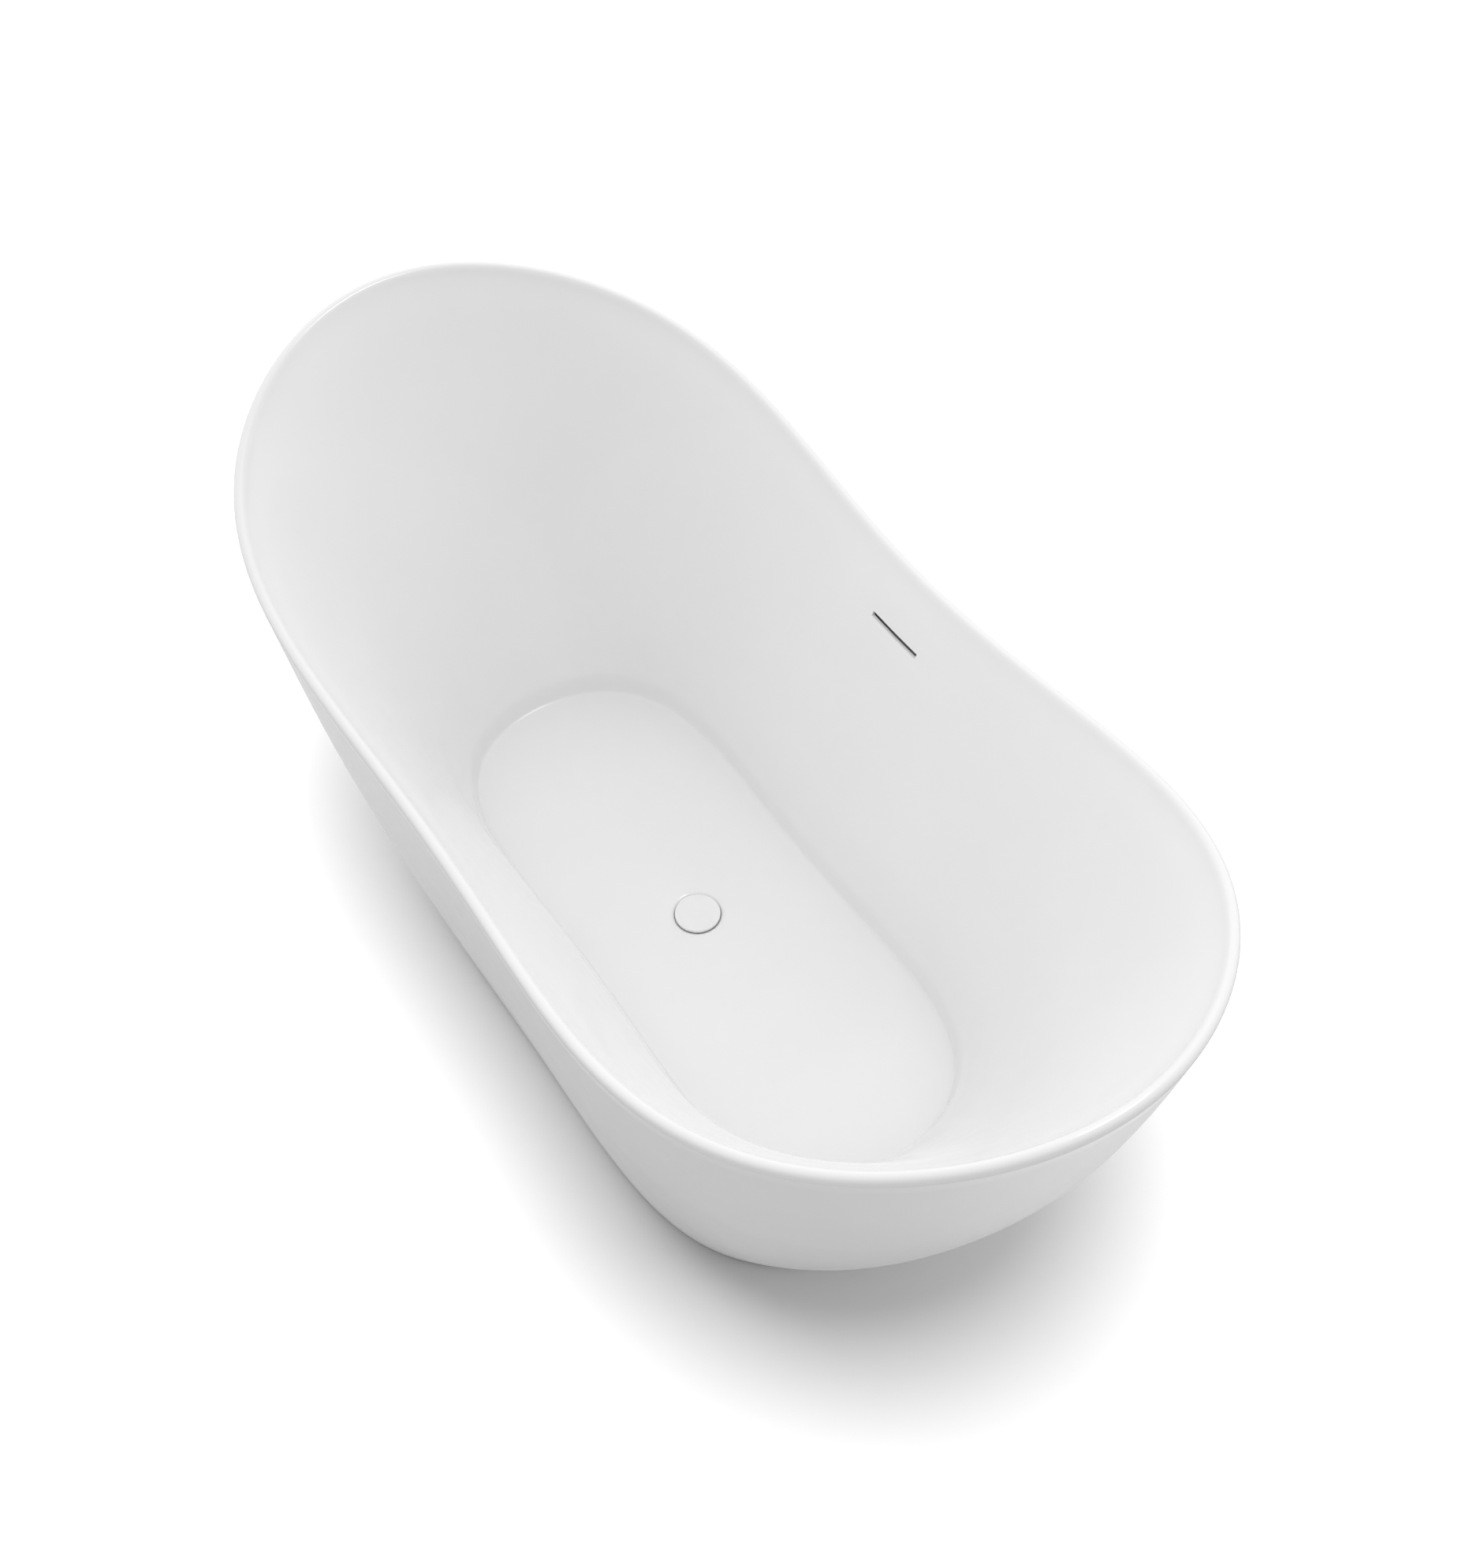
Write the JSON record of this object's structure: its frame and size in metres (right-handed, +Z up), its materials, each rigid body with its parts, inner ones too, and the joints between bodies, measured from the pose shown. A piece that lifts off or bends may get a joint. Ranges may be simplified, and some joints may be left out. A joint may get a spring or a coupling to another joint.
{
  "type": "freestanding bathtub",
  "caption": "Double-ended freestanding bathtub with a saddle rim, flared skirt, slotted overflow, pop-up waste, low trap and a steel frame on levelling feet.",
  "frame": {"origin": "on the floor, under the middle of the tub", "axes": "+X runs along the tub, +Y points to the overflow side, +Z is up"},
  "size_m": [1.7, 0.806, 0.7513],
  "materials": {
    "white_acrylic": "gloss white sanitary acrylic",
    "glass_fibre": "rough glass-fibre laminate",
    "adhesive": "grey structural adhesive",
    "moisture_board": "moisture-resistant board",
    "powder_coated_steel": "black powder coat",
    "zinc_steel": "bright zinc plate",
    "foot_rubber": "matt black rubber",
    "sealing_rubber": "matt black rubber",
    "hose_plastic": "flexible grey-white hose",
    "trap_plastic": "moulded white polypropylene",
    "chromed_brass": "polished chrome",
    "plain_brass": "turned brass",
    "white_enamel": "gloss white enamel on brass"
  },
  "bodies": {
    "tub": {"base_batten": "moisture_board", "base_board": "moisture_board", "basin": "white_acrylic", "basin_laminate": "glass_fibre", "cross_member_foot": "powder_coated_steel", "cross_member_head": "powder_coated_steel", "cross_member_inner_foot": "powder_coated_steel", "cross_member_inner_head": "powder_coated_steel", "foot_plates": "powder_coated_steel", "frame_rail_far": "powder_coated_steel", "frame_rail_near": "powder_coated_steel", "frame_screws": "zinc_steel", "hose_clip_bottom": "zinc_steel", "hose_clip_top": "zinc_steel", "overflow_gasket": "sealing_rubber", "overflow_hose": "hose_plastic", "overflow_housing": "trap_plastic", "plug_cartridge": "trap_plastic", "rim_joint_bead": "adhesive", "skirt": "white_acrylic", "skirt_stays": "powder_coated_steel", "stay_screws": "zinc_steel", "trap_cup": "trap_plastic", "trap_dip_tube": "trap_plastic", "trap_insert": "trap_plastic", "trap_neck": "trap_plastic", "trap_seal_ring": "sealing_rubber", "trap_union_nut": "trap_plastic", "waste_backnut": "plain_brass", "waste_flange": "chromed_brass", "waste_gasket_lower": "sealing_rubber", "waste_gasket_upper": "sealing_rubber"},
    "plug": {"plug_cap": "white_enamel", "plug_seal": "sealing_rubber", "plug_stem": "chromed_brass"},
    "foot_head_near": {"foot_stud_head_near": "zinc_steel", "foot_pad_head_near": "foot_rubber"},
    "nuts_head_near": {"foot_adjusting_nut_head_near": "zinc_steel", "foot_lock_nut_head_near": "zinc_steel"},
    "foot_head_far": {"foot_stud_head_far": "zinc_steel", "foot_pad_head_far": "foot_rubber"},
    "nuts_head_far": {"foot_adjusting_nut_head_far": "zinc_steel", "foot_lock_nut_head_far": "zinc_steel"},
    "foot_foot_near": {"foot_stud_foot_near": "zinc_steel", "foot_pad_foot_near": "foot_rubber"},
    "nuts_foot_near": {"foot_adjusting_nut_foot_near": "zinc_steel", "foot_lock_nut_foot_near": "zinc_steel"},
    "foot_foot_far": {"foot_stud_foot_far": "zinc_steel", "foot_pad_foot_far": "foot_rubber"},
    "nuts_foot_far": {"foot_adjusting_nut_foot_far": "zinc_steel", "foot_lock_nut_foot_far": "zinc_steel"}
  },
  "joints": [
    {"name": "plug_lift", "type": "slide", "parent": "tub", "child": "plug", "axis": [0, 0, 1], "range_m": [0, 0.01]},
    {"name": "foot_head_near_extend", "type": "slide", "parent": "tub", "child": "foot_head_near", "axis": [0, 0, -1], "range_m": [-0.002, 0.016]},
    {"name": "nuts_head_near_turn", "type": "hinge", "parent": "tub", "child": "nuts_head_near", "pos_m": [-0.33, -0.205, 0.059], "axis": [0, 0, 1], "range_deg": [-490, 3850]},
    {"name": "foot_head_far_extend", "type": "slide", "parent": "tub", "child": "foot_head_far", "axis": [0, 0, -1], "range_m": [-0.002, 0.016]},
    {"name": "nuts_head_far_turn", "type": "hinge", "parent": "tub", "child": "nuts_head_far", "pos_m": [-0.33, 0.205, 0.059], "axis": [0, 0, 1], "range_deg": [-490, 3850]},
    {"name": "foot_foot_near_extend", "type": "slide", "parent": "tub", "child": "foot_foot_near", "axis": [0, 0, -1], "range_m": [-0.002, 0.016]},
    {"name": "nuts_foot_near_turn", "type": "hinge", "parent": "tub", "child": "nuts_foot_near", "pos_m": [0.33, -0.205, 0.059], "axis": [0, 0, 1], "range_deg": [-490, 3850]},
    {"name": "foot_foot_far_extend", "type": "slide", "parent": "tub", "child": "foot_foot_far", "axis": [0, 0, -1], "range_m": [-0.002, 0.016]},
    {"name": "nuts_foot_far_turn", "type": "hinge", "parent": "tub", "child": "nuts_foot_far", "pos_m": [0.33, 0.205, 0.059], "axis": [0, 0, 1], "range_deg": [-490, 3850]}
  ],
  "couplings": [
    {"joint": "nuts_head_near_turn", "follows": "foot_head_near_extend", "rad_per_m": 4188.8},
    {"joint": "nuts_head_far_turn", "follows": "foot_head_far_extend", "rad_per_m": 4188.8},
    {"joint": "nuts_foot_near_turn", "follows": "foot_foot_near_extend", "rad_per_m": 4188.8},
    {"joint": "nuts_foot_far_turn", "follows": "foot_foot_far_extend", "rad_per_m": 4188.8}
  ]
}
